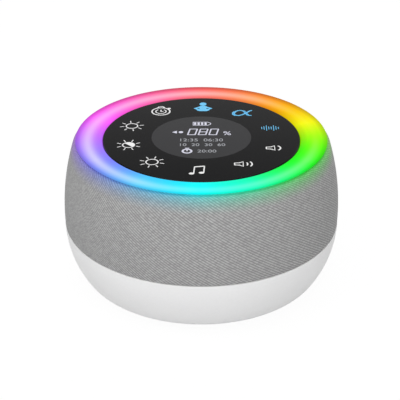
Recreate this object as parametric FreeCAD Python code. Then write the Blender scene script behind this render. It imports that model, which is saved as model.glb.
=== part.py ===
import FreeCAD, Part
import math
import os

# A round bedside white noise machine: a plastic bowl, a cloth sleeve over a slotted shell, and a
# black touch panel inside a lit ring. It stands on z = 0 with its front towards -Y.
# All sizes are in millimetres and all angles in degrees.

# Bowl at the bottom
foot_lift = 1.2
foot_recess = 0.8
foot_inset = 21.0
foot_width = 8.2
bowl_height = 23.0
bowl_rim_radius = 55.0
foot_inner_radius = bowl_rim_radius - foot_inset
bowl_rim_lean = 1.0
bowl_side_curve = 38.3
bowl_corner_curve = 6.8
bowl_wall = 2.4
tongue_height = 2.4
tongue_width = 1.5
tongue_clearance = 0.25

# Cloth sleeve and the slotted shell under it
sleeve_height = 34.2
sleeve_widest_radius = bowl_rim_radius
sleeve_widest_rise = 4.4
sleeve_side_curve = 95.0
sleeve_fold_curve = 2.0
cloth = 0.8
shell_wall = 2.2
rim_width = 2.35
rim_thickness = 1.8
deck_thickness = 1.8
slot_count = 40
slot_width = 2.4
slot_height = 12.0
slot_rise = 4.5

# Light ring, panel and the frame that carries them
ring_width = 10.15
ring_past_fold = 0.35
ring_edge = 0.75
ring_crown = 0.65
ring_plate = 1.6
ring_skirt = 2.4
panel_gap = 0.15
panel_thickness = 2.0
panel_rise = 0.6
tape_thickness = 0.4
tape_width = 1.4
frame_clearance = 0.2
frame_wall = 1.2
frame_floor = 1.6
trough_depth = 4.5
frame_boss_radius = 2.6
led_board_thickness = 1.0
led_board_gap = 0.3
led_count = 24
led_size = 3.2
led_height = 1.4

# Display, touch film and control board
display_radius = 21.2
display_thickness = 2.4
display_frame = 0.6
film_thickness = 0.3
film_gap = 0.5
board_thickness = 1.2
board_gap = 0.4
chip_height = 1.0
control_chip_sizes = [(7.0, 7.0), (4.0, 5.0), (3.0, 3.0), (7.0, 4.4), (3.0, 3.0), (4.0, 5.0)]

# Loudspeaker
speaker_room = 6.75
cone_depth = 6.0
cone_paper = 0.5
dust_cap_radius = 9.0
dust_cap_rise = 2.6
roll_width = 3.6
roll_height = 1.3
roll_rubber = 0.4
roll_seat = 1.6
flange_width = 3.4
flange_thickness = 1.2
basket_metal = 0.9
basket_depth = 10.0
basket_taper = 3.7
basket_shelf_width = 2.8
basket_shelf_rise = 3.0
basket_windows = 6
basket_rib = 4.9
basket_window_height = 3.6
plate_thickness = 2.2
plate_radius = 14.5
magnet_thickness = 4.8
magnet_radius = 15.5
magnet_bore = 9.6
pole_radius = 7.2
coil_gap = 0.35
coil_former = 0.2
coil_winding = 0.2
coil_length = 5.0
spider_waves = 2
spider_wave_rise = 0.6
spider_cloth = 0.3
gasket_thickness = 1.2
terminal_width = 8.0
tag_spread = 5.0
tag_width = 1.6
tag_thickness = 0.5
baffle_thickness = 2.4
baffle_hole_gap = 0.6

# Battery
cell_radius = 9.2
cell_room = 2.45
cell_lift = 0.4
cell_gap = 1.6
cradle_rib = 2.0
cradle_inset = 12.0
foam_width = 6.0
foam_length = 30.0

# Main board, power inlet and power button at the rear
main_board_thickness = 1.6
main_board_standoff = 5.8
main_board_gap = 2.5
socket_width = 8.94
socket_height = 3.26
socket_length = 7.35
socket_metal = 0.35
socket_gap = 0.15
socket_back = 1.0
socket_tongue = 0.7
socket_tongue_inset = 1.1
inlet_x = 6.5
inlet_width = 13.2
inlet_height = 7.4
inlet_depth = 5.2
inlet_wall = 1.6
rear_flat_depth = 2.8
rear_flat_width = 33.0
rear_flat_height = 12.4
rear_flat_corner = 3.0
main_chip_sizes = [(5.0, 4.0), (7.0, 7.0), (6.0, 5.0)]
main_chip_places = [-18.0, -10.5, 8.6]
capacitor_radius = 2.5
capacitor_height = 5.4
capacitor_x = 15.0
capacitor_rows = [5.5, 11.5]
button_x = -8.5
button_radius = 3.5
button_gap = 0.3
button_proud = 0.8
button_flange = 1.3
button_flange_thickness = 1.0
button_rest_gap = 0.1
button_stem_radius = 1.4
button_travel = 0.5
switch_width = 6.0
switch_depth = 4.0
plunger_width = 2.4
plunger_height = 1.3
plunger_proud = 0.9
plunger_inside = 0.8
plunger_gap = 0.15

# Screws: the bowl's long ones, and the short ones for everything else
bowl_screw_inset = 19.3
bowl_screw_x = bowl_rim_radius - bowl_screw_inset
bowl_screw_y = 13.0
bowl_boss_radius = 3.5
bowl_boss_height = 12.4
bowl_boss_seat = 3.0
long_screw_head = 2.5
long_screw_shank = 1.3
long_screw_length = 11.0
short_screw_head = 1.9
short_screw_head_height = 1.2
short_screw_shank = 1.0
short_screw_length = 5.0
screw_play = 0.3
boss_wall = 1.6
shell_post_height = 9.0
ring_screws = 4
ring_screws_angle = 45.0
board_screws = 3
board_screws_angle = 30.0

# Leads
ribbon_width = 8.0
ribbon_thickness = 0.3
ribbon_bend = 2.0
ribbon_slot_gap = 0.8
plug_height = 3.0
plug_depth = 4.4
plug_gap = 0.5
lead_radius = 0.9
lead_exit = 7.0
lead_ease = 0.45

# Levels, from the table up
seam_z = foot_lift + bowl_height
floor_z = foot_lift + bowl_wall
tongue_top_z = seam_z + tongue_height
baffle_top_z = tongue_top_z + baffle_thickness
sleeve_top_z = seam_z + sleeve_height
widest_z = seam_z + sleeve_widest_rise
panel_top_z = sleeve_top_z + panel_rise
panel_bottom_z = panel_top_z - panel_thickness
tape_bottom_z = panel_bottom_z - tape_thickness
ring_seat_z = sleeve_top_z - ring_skirt
trough_z = ring_seat_z - trough_depth
deck_top_z = trough_z - frame_floor
board_top_z = panel_bottom_z - display_thickness
board_bottom_z = board_top_z - board_thickness
main_board_z = floor_z + main_board_standoff
main_board_top_z = main_board_z + main_board_thickness
port_z = main_board_top_z + socket_height / 2
basket_base_z = baffle_top_z - basket_depth
shelf_z = basket_base_z + basket_shelf_rise
cone_edge_z = baffle_top_z + flange_thickness
cone_neck_z = cone_edge_z - cone_depth
plate_bottom_z = basket_base_z - plate_thickness
magnet_bottom_z = plate_bottom_z - magnet_thickness
yoke_bottom_z = magnet_bottom_z - plate_thickness
boss_meet_z = floor_z + bowl_boss_height
cell_z = floor_z + cell_lift + cell_radius

# Centres of the outer curves, as (radius, height)
rim_lean = math.radians(bowl_rim_lean)
side_centre = (bowl_rim_radius - bowl_side_curve * math.cos(rim_lean),
               seam_z + bowl_side_curve * math.sin(rim_lean))
corner_lean = math.asin((side_centre[1] - foot_lift - bowl_corner_curve)
                        / (bowl_side_curve - bowl_corner_curve))
corner_centre = (side_centre[0] + (bowl_side_curve - bowl_corner_curve) * math.cos(corner_lean),
                 foot_lift + bowl_corner_curve)
sleeve_centre = (sleeve_widest_radius - sleeve_side_curve, widest_z)
fold_centre = (sleeve_centre[0] + math.sqrt((sleeve_side_curve - sleeve_fold_curve) ** 2
                                            - (sleeve_top_z - sleeve_fold_curve - widest_z) ** 2),
               sleeve_top_z - sleeve_fold_curve)
fold_lean = math.atan2(fold_centre[1] - sleeve_centre[1], fold_centre[0] - sleeve_centre[0])


def bowl_radius(z, inset=0.0):
    """Radius of the bowl's curved side at a height, less an inset."""
    curve = bowl_side_curve - inset
    return side_centre[0] + math.sqrt(curve ** 2 - (side_centre[1] - z) ** 2)


def sleeve_radius(z, inset=0.0):
    """Radius of the sleeve's curved side at a height, less an inset."""
    curve = sleeve_side_curve - inset
    return sleeve_centre[0] + math.sqrt(curve ** 2 - (z - widest_z) ** 2)


def on_curve(centre, curve, angle):
    """Point of a circle in the half section, at an angle above the horizontal."""
    return (centre[0] + curve * math.cos(angle), centre[1] + curve * math.sin(angle))


# Radii that follow from the form
shell_inset = cloth + shell_wall
tongue_outer_radius = sleeve_radius(seam_z + cloth, shell_inset) - tongue_clearance
tongue_inner_radius = tongue_outer_radius - tongue_width
ring_outer_radius = fold_centre[0] + ring_past_fold
ring_inner_radius = ring_outer_radius - ring_width
panel_radius = ring_inner_radius - panel_gap
rim_inner_radius = fold_centre[0] - rim_width
frame_outer_radius = rim_inner_radius - frame_clearance
trough_outer_radius = frame_outer_radius - frame_wall
trough_inner_radius = ring_inner_radius + frame_wall
seat_inner_radius = panel_radius - tape_width - frame_clearance
frame_screw_circle = trough_inner_radius - frame_boss_radius
board_radius = frame_screw_circle - frame_boss_radius - board_gap
deck_inner_radius = frame_screw_circle - frame_boss_radius - frame_wall
flange_outer_radius = deck_inner_radius - speaker_room
roll_outer_radius = flange_outer_radius - flange_width
cone_radius = roll_outer_radius - roll_width
flange_inner_radius = roll_outer_radius - basket_metal
basket_foot_radius = flange_inner_radius + basket_metal - basket_taper - basket_shelf_width
basket_window_width = 2 * math.pi * basket_foot_radius / basket_windows - basket_rib
coil_inner_radius = pole_radius + coil_gap
coil_outer_radius = coil_inner_radius + coil_former + coil_winding
plate_bore = coil_outer_radius + coil_gap
post_circle = tongue_inner_radius - short_screw_head - screw_play - boss_wall
post_radius = short_screw_shank + boss_wall
cell_y = -(max(magnet_radius + cell_gap, basket_foot_radius) + cell_radius)
cell_length = 2 * math.sqrt((bowl_radius(cell_z, bowl_wall) - cell_room) ** 2
                            - (cell_radius - cell_y) ** 2)
rear_flat_y = bowl_radius(port_z) - rear_flat_depth
rear_pad_y = rear_flat_y - bowl_wall
inlet_floor_y = rear_flat_y - inlet_depth
inlet_back_y = inlet_floor_y - inlet_wall
main_board_rear_y = inlet_back_y - board_gap
main_board_front_y = magnet_radius + main_board_gap
main_board_half_width = bowl_screw_x - bowl_boss_radius - 2 * board_gap
main_board_reach = bowl_radius(main_board_z, bowl_wall) - 2 * boss_wall
ribbon_y = (flange_outer_radius + deck_inner_radius) / 2
main_screw_x = main_board_half_width - 2 * short_screw_head
main_screw_rear_y = math.sqrt((main_board_reach - 2 * short_screw_head) ** 2 - main_screw_x ** 2)
main_screw_places = [(side * main_screw_x, y) for side in (-1, 1)
                     for y in (main_board_front_y + 2 * short_screw_head, main_screw_rear_y)]
plug_x = main_screw_x - short_screw_head - plug_gap - plug_depth / 2
bowl_screw_places = [(a * bowl_screw_x, b * bowl_screw_y) for a in (-1, 1) for b in (-1, 1)]


def at(point):
    """Half section point (radius, height) in space."""
    return FreeCAD.Vector(point[0], 0, point[1])


def half_section(start, *steps):
    """Face of a closed half section. A step is a point, or two points for an arc through the first."""
    edges = []
    here = start
    for step in steps + (start,):
        if isinstance(step[0], tuple):
            edges.append(Part.Arc(at(here), at(step[0]), at(step[1])).toShape())
            here = step[1]
        else:
            edges.append(Part.LineSegment(at(here), at(step)).toShape())
            here = step
    return Part.Face(Part.Wire(edges))


def turned(start, *steps):
    """Solid of a half section turned about the upright axis."""
    return half_section(start, *steps).revolve(FreeCAD.Vector(0, 0, 0), FreeCAD.Vector(0, 0, 1), 360)


def upright(radius, bottom, top, x=0.0, y=0.0):
    """Upright round bar between two heights."""
    return Part.makeCylinder(radius, top - bottom, FreeCAD.Vector(x, y, bottom))


def tube(outer, inner, bottom, top, x=0.0, y=0.0):
    """Upright tube between two heights."""
    return upright(outer, bottom, top, x, y).cut(upright(inner, bottom, top, x, y))


def block(low, high):
    """Box between its lowest and highest corners."""
    size = [b - a for a, b in zip(low, high)]
    return Part.makeBox(size[0], size[1], size[2], FreeCAD.Vector(*low))


def round_cap(radius, rim_z, rise):
    """Cap of a ball: its flat rim at rim_z and its crown on the axis, rise above it."""
    curve = (radius ** 2 + rise ** 2) / (2 * rise)
    ball = Part.makeSphere(curve, FreeCAD.Vector(0, 0, rim_z + rise - curve))
    return ball.common(upright(2 * radius, rim_z, rim_z + 2 * rise))


def rounded_bar(x, z, width, height, corner, low_y, high_y):
    """Bar along Y with a rounded rectangle as its section."""
    bar = block((x - width / 2, low_y, z - height / 2), (x + width / 2, high_y, z + height / 2))
    long_edges = [e for e in bar.Edges if abs(e.BoundBox.YLength - (high_y - low_y)) < 1e-6]
    return bar.makeFillet(corner, long_edges)


def round_about(shape, count, first=0.0):
    """Copies of a shape, evenly spaced about the upright axis."""
    copies = []
    for i in range(count):
        copy = shape.copy()
        copy.rotate(FreeCAD.Vector(0, 0, 0), FreeCAD.Vector(0, 0, 1), first + 360.0 * i / count)
        copies.append(copy)
    return copies


def screw(head, head_height, shank, length, x, y, seat_z, up=True):
    """Flat-topped screw, its head's bearing face at seat_z and its shank above or below that."""
    side = 1 if up else -1
    axis = FreeCAD.Vector(0, 0, side)
    place = FreeCAD.Vector(x, y, seat_z)
    top = Part.makeCylinder(head, head_height, place, -axis)
    return top.fuse(Part.makeCylinder(shank, length, place, axis))


def short_screw(x, y, seat_z, up=True, length=None):
    """One of the small screws."""
    return screw(short_screw_head, short_screw_head_height, short_screw_shank,
                 length or short_screw_length, x, y, seat_z, up)


def bowl_body():
    """The bowl's outer form, filled."""
    return turned((0, foot_lift), (corner_centre[0], foot_lift),
                  (on_curve(corner_centre, bowl_corner_curve, -(corner_lean + math.pi / 2) / 2),
                   on_curve(corner_centre, bowl_corner_curve, -corner_lean)),
                  (on_curve(side_centre, bowl_side_curve, -(corner_lean + rim_lean) / 2),
                   (bowl_rim_radius, seam_z)),
                  (tongue_outer_radius, seam_z), (tongue_outer_radius, tongue_top_z),
                  (0, tongue_top_z))


def bowl_hollow():
    """The room inside the bowl: curved like the outside, with a step under the tongue."""
    step_z = seam_z - tongue_width
    side_top_z = step_z - (bowl_radius(step_z, bowl_wall) - tongue_inner_radius)
    knee = on_curve(corner_centre, bowl_corner_curve - bowl_wall, -corner_lean)
    top_lean = math.asin((side_centre[1] - side_top_z) / (bowl_side_curve - bowl_wall))
    return turned((0, floor_z), (corner_centre[0], floor_z), knee,
                  (on_curve(side_centre, bowl_side_curve - bowl_wall, -(corner_lean + top_lean) / 2),
                   (bowl_radius(side_top_z, bowl_wall), side_top_z)),
                  (tongue_inner_radius, step_z), (tongue_inner_radius, tongue_top_z),
                  (0, tongue_top_z))


def rear_ports():
    """Cuts at the rear: the flat, the plug's recess with its slot, and the button's hole."""
    far_y = bowl_rim_radius + bowl_wall
    flat = rounded_bar(0, port_z, rear_flat_width, rear_flat_height, rear_flat_corner,
                       rear_flat_y, far_y)
    recess = rounded_bar(inlet_x, port_z, inlet_width, inlet_height, inlet_height / 2.2,
                         inlet_floor_y, far_y)
    slot_height_z = socket_height + 2 * socket_gap
    slot = rounded_bar(inlet_x, port_z, socket_width + 2 * socket_gap, slot_height_z,
                       slot_height_z / 2.2, inlet_back_y, far_y)
    inside = FreeCAD.Vector(button_x, inlet_back_y, port_z)
    outwards = FreeCAD.Vector(0, 1, 0)
    hole = Part.makeCylinder(button_radius + button_gap, far_y - inlet_back_y, inside, outwards)
    room = Part.makeCylinder(button_radius + button_flange + button_gap, rear_pad_y - inlet_back_y,
                             inside, outwards)
    return [flat, recess, slot, hole, room]


def base_shell():
    """Moulded bowl with its screw bosses, board posts, battery cradle and rear ports."""
    outside = bowl_body()
    shell = outside.cut(bowl_hollow())
    pad_height = rear_flat_height + 2 * bowl_wall
    pad = block((-rear_flat_width / 2 - bowl_wall, rear_pad_y, port_z - pad_height / 2),
                (rear_flat_width / 2 + bowl_wall, bowl_rim_radius, port_z + pad_height / 2))
    inlet_box = block((inlet_x - inlet_width / 2 - inlet_wall, inlet_back_y,
                       port_z - inlet_height / 2 - inlet_wall),
                      (inlet_x + inlet_width / 2 + inlet_wall, bowl_rim_radius,
                       port_z + inlet_height / 2 + inlet_wall))
    bosses = [upright(bowl_boss_radius, foot_lift, boss_meet_z, x, y) for x, y in bowl_screw_places]
    posts = [upright(short_screw_shank + boss_wall, foot_lift, main_board_z, x, y)
             for x, y in main_screw_places]
    rib_x = cell_length / 2 - cradle_inset
    rib_half = cell_radius + cradle_rib
    ribs = [block((side * rib_x - cradle_rib / 2, cell_y - rib_half, foot_lift),
                  (side * rib_x + cradle_rib / 2, cell_y + rib_half, cell_z - cell_radius / 2))
            for side in (-1, 1)]
    added = [piece.common(outside) for piece in [pad, inlet_box] + bosses + posts + ribs]
    shell = shell.fuse(added)
    cell_room = Part.makeCylinder(cell_radius, cell_length, FreeCAD.Vector(-cell_length / 2, cell_y, cell_z),
                                  FreeCAD.Vector(1, 0, 0))
    wells = [upright(long_screw_head + screw_play, foot_lift, boss_meet_z - bowl_boss_seat, x, y)
             for x, y in bowl_screw_places]
    shanks = [upright(long_screw_shank + screw_play, foot_lift, boss_meet_z, x, y)
              for x, y in bowl_screw_places]
    pilots = [upright(short_screw_shank, floor_z, main_board_z, x, y) for x, y in main_screw_places]
    foot_groove = tube(foot_inner_radius + foot_width, foot_inner_radius, foot_lift,
                       foot_lift + foot_recess)
    cuts = rear_ports() + wells + shanks + pilots + [cell_room, foot_groove]
    return shell.cut(cuts).removeSplitter()


def foot_ring():
    """Soft ring glued in the groove under the bowl; it hides the long screws."""
    inner = foot_inner_radius
    outer = foot_inner_radius + foot_width
    top = foot_lift + foot_recess
    edge = foot_lift / 3
    return turned((inner + edge, 0), (outer - edge, 0), (outer, edge), (outer, top), (inner, top),
                  (inner, edge))


def base_screws():
    """Long screws from the bowl's wells up into the baffle."""
    return [screw(long_screw_head, bowl_boss_seat * 0.6, long_screw_shank, long_screw_length,
                  x, y, boss_meet_z - bowl_boss_seat) for x, y in bowl_screw_places]


def shell_outline(inset, top_z, inner_radius, bottom_z, inner_inset):
    """Half section of a shell that follows the sleeve, folded in over the top."""
    fold = sleeve_fold_curve - inset
    side = sleeve_side_curve - inset
    bottom = sleeve_radius(bottom_z, inset)
    bottom_angle = -math.asin((widest_z - bottom_z) / side)
    inner_side = sleeve_side_curve - inner_inset
    under_z = top_z
    inner_top = sleeve_radius(under_z, inner_inset)
    inner_angle = math.asin((under_z - widest_z) / inner_side)
    inner_bottom_angle = -math.asin((widest_z - bottom_z) / inner_side)
    return ((bottom, bottom_z),
            (on_curve(sleeve_centre, side, (bottom_angle + fold_lean) / 2),
             on_curve(sleeve_centre, side, fold_lean)),
            (on_curve(fold_centre, fold, (fold_lean + math.pi / 2) / 2),
             (fold_centre[0], fold_centre[1] + fold)),
            (inner_radius, fold_centre[1] + fold), (inner_radius, top_z), (inner_top, top_z),
            (on_curve(sleeve_centre, inner_side, (inner_angle + inner_bottom_angle) / 2),
             (sleeve_radius(bottom_z, inner_inset), bottom_z)))


def grille_shell():
    """Slotted shell under the cloth, with the deck for the top frame and posts for the baffle."""
    bottom_z = seam_z + cloth
    outline = shell_outline(cloth, sleeve_top_z - cloth - rim_thickness, rim_inner_radius, bottom_z,
                            shell_inset)
    shell = turned(*outline)
    deck = tube(sleeve_radius(deck_top_z, cloth + shell_wall / 2), deck_inner_radius,
                deck_top_z - deck_thickness, deck_top_z)
    post_top_z = baffle_top_z + shell_post_height
    post = upright(post_radius, baffle_top_z, post_top_z, post_circle)
    web = block((post_circle, -boss_wall / 2, baffle_top_z),
                (sleeve_radius(baffle_top_z, cloth + shell_wall / 2), boss_wall / 2, post_top_z))
    posts = round_about(post.fuse(web), ring_screws, ring_screws_angle)
    slot_z = baffle_top_z + slot_rise + slot_height / 2
    slot = block((-slot_width / 2, frame_outer_radius, slot_z - slot_height / 2),
                 (slot_width / 2, sleeve_widest_radius, slot_z + slot_height / 2))
    pilots = round_about(upright(short_screw_shank, baffle_top_z, post_top_z - boss_wall,
                                 post_circle), ring_screws, ring_screws_angle)
    frame_holes = round_about(upright(short_screw_shank + screw_play, deck_top_z - deck_thickness,
                                      deck_top_z, frame_screw_circle), ring_screws, ring_screws_angle)
    shell = shell.cut(round_about(slot, slot_count, 180.0 / slot_count))
    return shell.fuse([deck] + posts).cut(pilots + frame_holes).removeSplitter()


def fabric_sleeve():
    """Cloth stretched round the shell, folded in over its rim and under its lower edge."""
    inner_fold = sleeve_fold_curve - cloth
    side = sleeve_side_curve
    inner_side = sleeve_side_curve - cloth
    tuck = rim_inner_radius + frame_clearance
    hem = tongue_outer_radius + tongue_clearance + frame_clearance
    bottom_angle = -math.asin((widest_z - seam_z) / side)
    hem_z = seam_z + cloth
    inner_bottom_angle = -math.asin((widest_z - hem_z) / inner_side)
    return turned((sleeve_radius(seam_z), seam_z),
                  (on_curve(sleeve_centre, side, (bottom_angle + fold_lean) / 2),
                   on_curve(sleeve_centre, side, fold_lean)),
                  (on_curve(fold_centre, sleeve_fold_curve, (fold_lean + math.pi / 2) / 2),
                   (fold_centre[0], sleeve_top_z)),
                  (tuck, sleeve_top_z), (tuck, sleeve_top_z - cloth),
                  (fold_centre[0], sleeve_top_z - cloth),
                  (on_curve(fold_centre, inner_fold, (fold_lean + math.pi / 2) / 2),
                   on_curve(sleeve_centre, inner_side, fold_lean)),
                  (on_curve(sleeve_centre, inner_side, (inner_bottom_angle + fold_lean) / 2),
                   (sleeve_radius(hem_z, cloth), hem_z)),
                  (hem, hem_z), (hem, seam_z))


def top_frame():
    """Moulded tray: a trough for the lamps, a seat for the panel, and a floor with posts."""
    seat_z = tape_bottom_z
    frame = turned((0, deck_top_z), (frame_outer_radius, deck_top_z),
                   (frame_outer_radius, ring_seat_z), (trough_outer_radius, ring_seat_z),
                   (trough_outer_radius, trough_z), (trough_inner_radius, trough_z),
                   (trough_inner_radius, ring_seat_z),
                   (ring_inner_radius - frame_clearance, ring_seat_z),
                   (ring_inner_radius - frame_clearance, seat_z),
                   (seat_inner_radius, seat_z), (seat_inner_radius, trough_z), (0, trough_z))
    bosses = round_about(upright(frame_boss_radius, deck_top_z, ring_seat_z, frame_screw_circle),
                         ring_screws, ring_screws_angle)
    board_posts = round_about(upright(post_radius, deck_top_z, board_bottom_z,
                                      board_radius - 2 * post_radius), board_screws, board_screws_angle)
    pilots = round_about(upright(short_screw_shank, deck_top_z, ring_seat_z - boss_wall,
                                 frame_screw_circle), ring_screws, ring_screws_angle)
    board_pilots = round_about(upright(short_screw_shank, deck_top_z + boss_wall, board_bottom_z,
                                       board_radius - 2 * post_radius), board_screws, board_screws_angle)
    half = ribbon_width / 2 + ribbon_slot_gap
    window = block((-half, ribbon_y - 2 * plug_depth, deck_top_z),
                   (half, ribbon_y + ribbon_slot_gap, trough_z))
    return frame.fuse(bosses + board_posts).cut(pilots + board_pilots + [window]).removeSplitter()


def frame_screws():
    """Screws through the deck, up into the frame."""
    one = short_screw(frame_screw_circle, 0, deck_top_z - deck_thickness)
    return round_about(one, ring_screws, ring_screws_angle)


def led_board():
    """Ring-shaped circuit board in the trough."""
    return tube(trough_outer_radius - led_board_gap, trough_inner_radius + led_board_gap,
                trough_z, trough_z + led_board_thickness)


def led_chips():
    """Coloured lamps, evenly spaced on their board."""
    middle = (trough_outer_radius + trough_inner_radius) / 2
    half = led_size / 2
    bottom = trough_z + led_board_thickness
    lamp = block((middle - half, -half, bottom), (middle + half, half, bottom + led_height))
    return round_about(lamp, led_count, 180.0 / led_count)


def light_ring():
    """Milky ring with a low crown, a thin edge over the cloth's fold, and two skirts."""
    middle = (ring_inner_radius + ring_outer_radius) / 2
    edge_z = sleeve_top_z + ring_edge
    crown_z = edge_z + ring_crown
    under_z = crown_z - ring_plate - ring_edge / 2
    return turned((ring_inner_radius, ring_seat_z), (ring_inner_radius, edge_z),
                  ((middle, crown_z), (ring_outer_radius, edge_z)),
                  (ring_outer_radius, sleeve_top_z), (frame_outer_radius, sleeve_top_z),
                  (frame_outer_radius, ring_seat_z), (trough_outer_radius, ring_seat_z),
                  (trough_outer_radius, under_z), (trough_inner_radius, under_z),
                  (trough_inner_radius, ring_seat_z))


def touch_panel():
    """Black glass disc with a ground edge."""
    ground = panel_gap * 2
    return turned((0, panel_bottom_z), (panel_radius, panel_bottom_z),
                  (panel_radius, panel_top_z - ground), (panel_radius - ground, panel_top_z),
                  (0, panel_top_z))


def panel_tape():
    """Adhesive ring between the panel and its seat."""
    return tube(panel_radius - frame_clearance, panel_radius - frame_clearance - tape_width,
                tape_bottom_z, panel_bottom_z)


def touch_film():
    """Film with the touch electrodes, glued under the panel round the display."""
    outer = panel_radius - frame_clearance - tape_width - film_gap
    return tube(outer, display_radius + film_gap, panel_bottom_z - film_thickness, panel_bottom_z)


def display_module():
    """Round display, its metal rim a little lower than its glass."""
    rim = display_radius - display_frame
    return turned((0, board_top_z), (display_radius, board_top_z),
                  (display_radius, panel_bottom_z - display_frame),
                  (rim, panel_bottom_z - display_frame), (rim, panel_bottom_z), (0, panel_bottom_z))


def control_board():
    """Round circuit board that carries the display."""
    board = upright(board_radius, board_bottom_z, board_top_z)
    holes = round_about(upright(short_screw_shank + screw_play, board_bottom_z, board_top_z,
                                board_radius - 2 * post_radius), board_screws, board_screws_angle)
    return board.cut(holes)


def control_board_screws():
    """Screws through the control board into the frame's posts."""
    one = short_screw(board_radius - 2 * post_radius, 0, board_top_z, False,
                      board_top_z - deck_top_z - 2 * boss_wall)
    return round_about(one, board_screws, board_screws_angle)


def control_chips():
    """Packages round the display, and the ribbon's plug under the board."""
    circle = (display_radius + board_radius) / 2
    chips = []
    for i, (radial, across) in enumerate(control_chip_sizes):
        chip = block((circle - radial / 2, -across / 2, board_top_z),
                     (circle + radial / 2, across / 2, board_top_z + chip_height))
        chip.rotate(FreeCAD.Vector(0, 0, 0), FreeCAD.Vector(0, 0, 1), 360.0 * i / len(control_chip_sizes))
        chips.append(chip)
    plug = block((-ribbon_width / 2 - ribbon_slot_gap, ribbon_y - ribbon_bend - plug_depth,
                  board_bottom_z - chip_height),
                 (ribbon_width / 2 + ribbon_slot_gap, ribbon_y - ribbon_bend, board_bottom_z))
    return chips + [plug]


def ribbon_cable():
    """Flat lead: out of the control board's plug, a quarter turn, and down to the main board."""
    exit_z = board_bottom_z - chip_height / 2
    start = ribbon_y - ribbon_bend
    foot_z = main_board_top_z + plug_height
    out_r, in_r = ribbon_bend + ribbon_thickness / 2, ribbon_bend - ribbon_thickness / 2
    turn = (start, exit_z - ribbon_bend)
    down = math.pi / 4

    def yz(point):
        return FreeCAD.Vector(-ribbon_width / 2, point[0], point[1])

    outer_mid, inner_mid = on_curve(turn, out_r, down), on_curve(turn, in_r, down)
    edges = [
        Part.Arc(yz((start, exit_z + ribbon_thickness / 2)), yz(outer_mid),
                 yz((start + out_r, turn[1]))).toShape(),
        Part.LineSegment(yz((start + out_r, turn[1])), yz((start + out_r, foot_z))).toShape(),
        Part.LineSegment(yz((start + out_r, foot_z)), yz((start + in_r, foot_z))).toShape(),
        Part.LineSegment(yz((start + in_r, foot_z)), yz((start + in_r, turn[1]))).toShape(),
        Part.Arc(yz((start + in_r, turn[1])), yz(inner_mid),
                 yz((start, exit_z - ribbon_thickness / 2))).toShape(),
        Part.LineSegment(yz((start, exit_z - ribbon_thickness / 2)),
                         yz((start, exit_z + ribbon_thickness / 2))).toShape(),
    ]
    return Part.Face(Part.Wire(edges)).extrude(FreeCAD.Vector(ribbon_width, 0, 0))


def baffle_plate():
    """Disc that carries the loudspeaker, on the bowl's tongue and under the shell's posts."""
    plate = tube(tongue_outer_radius, flange_inner_radius + basket_metal + baffle_hole_gap,
                 tongue_top_z, baffle_top_z)
    bosses = [upright(bowl_boss_radius, boss_meet_z, tongue_top_z, x, y) for x, y in bowl_screw_places]
    pilots = [upright(long_screw_shank, boss_meet_z, tongue_top_z, x, y)
              for x, y in bowl_screw_places]
    holes = round_about(upright(short_screw_shank + screw_play, tongue_top_z, baffle_top_z,
                                post_circle), ring_screws, ring_screws_angle)
    speaker_holes = round_about(upright(short_screw_shank, tongue_top_z, baffle_top_z,
                                        speaker_screw_circle()), ring_screws, ring_screws_angle)
    half = ribbon_width / 2 + ribbon_slot_gap
    slit = block((-half, ribbon_y - ribbon_slot_gap, tongue_top_z),
                 (half, ribbon_y + ribbon_slot_gap, baffle_top_z))
    return plate.fuse(bosses).cut(pilots + holes + speaker_holes + [slit]).removeSplitter()


def baffle_screws():
    """Screws through the baffle, up into the shell's posts."""
    return round_about(short_screw(post_circle, 0, tongue_top_z), ring_screws, ring_screws_angle)


def speaker_screw_circle():
    """Radius of the circle that the loudspeaker's screws stand on."""
    return flange_outer_radius + short_screw_shank + screw_play


def speaker_basket():
    """Pressed metal basket: flange with ears, tapered wall with windows, spider shelf and foot."""
    top = cone_edge_z
    metal = basket_metal
    wall_top = flange_inner_radius + metal
    wall_foot = wall_top - basket_taper
    foot = basket_foot_radius
    basket = turned((plate_bore + metal, basket_base_z), (foot, basket_base_z), (foot, shelf_z - metal),
                    (wall_foot, shelf_z - metal), (wall_top, baffle_top_z),
                    (flange_outer_radius, baffle_top_z), (flange_outer_radius, top),
                    (flange_inner_radius, top), (flange_inner_radius, baffle_top_z),
                    (wall_foot - metal, shelf_z), (foot - metal, shelf_z),
                    (foot - metal, basket_base_z + metal), (plate_bore + metal, basket_base_z + metal))
    ear = upright(short_screw_head + screw_play, baffle_top_z, top, speaker_screw_circle())
    ear = ear.cut(upright(flange_outer_radius - metal, baffle_top_z, top))
    ears = round_about(ear, ring_screws, ring_screws_angle)
    holes = round_about(upright(short_screw_shank + screw_play, baffle_top_z, top,
                                speaker_screw_circle()), ring_screws, ring_screws_angle)
    window_z = (shelf_z + baffle_top_z) / 2
    window = block((-basket_window_width / 2, foot - metal, window_z - basket_window_height / 2),
                   (basket_window_width / 2, flange_outer_radius, window_z + basket_window_height / 2))
    windows = round_about(window, basket_windows)
    return basket.fuse(ears).cut(holes + windows).removeSplitter()


def speaker_screws():
    """Screws through the basket's ears into the baffle."""
    return round_about(short_screw(speaker_screw_circle(), 0, cone_edge_z, False,
                                   baffle_thickness + flange_thickness), ring_screws, ring_screws_angle)


def speaker_gasket():
    """Foam ring on the flange, over the surround's edge."""
    outer = speaker_screw_circle() - short_screw_head - screw_play
    return tube(outer, roll_outer_radius, cone_edge_z + roll_rubber,
                cone_edge_z + gasket_thickness)


def speaker_top_plate():
    """Steel washer over the magnet; the coil moves in its bore."""
    return tube(plate_radius, plate_bore, plate_bottom_z, basket_base_z)


def speaker_magnet():
    """Ring magnet."""
    return tube(magnet_radius, magnet_bore, magnet_bottom_z, plate_bottom_z)


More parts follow.
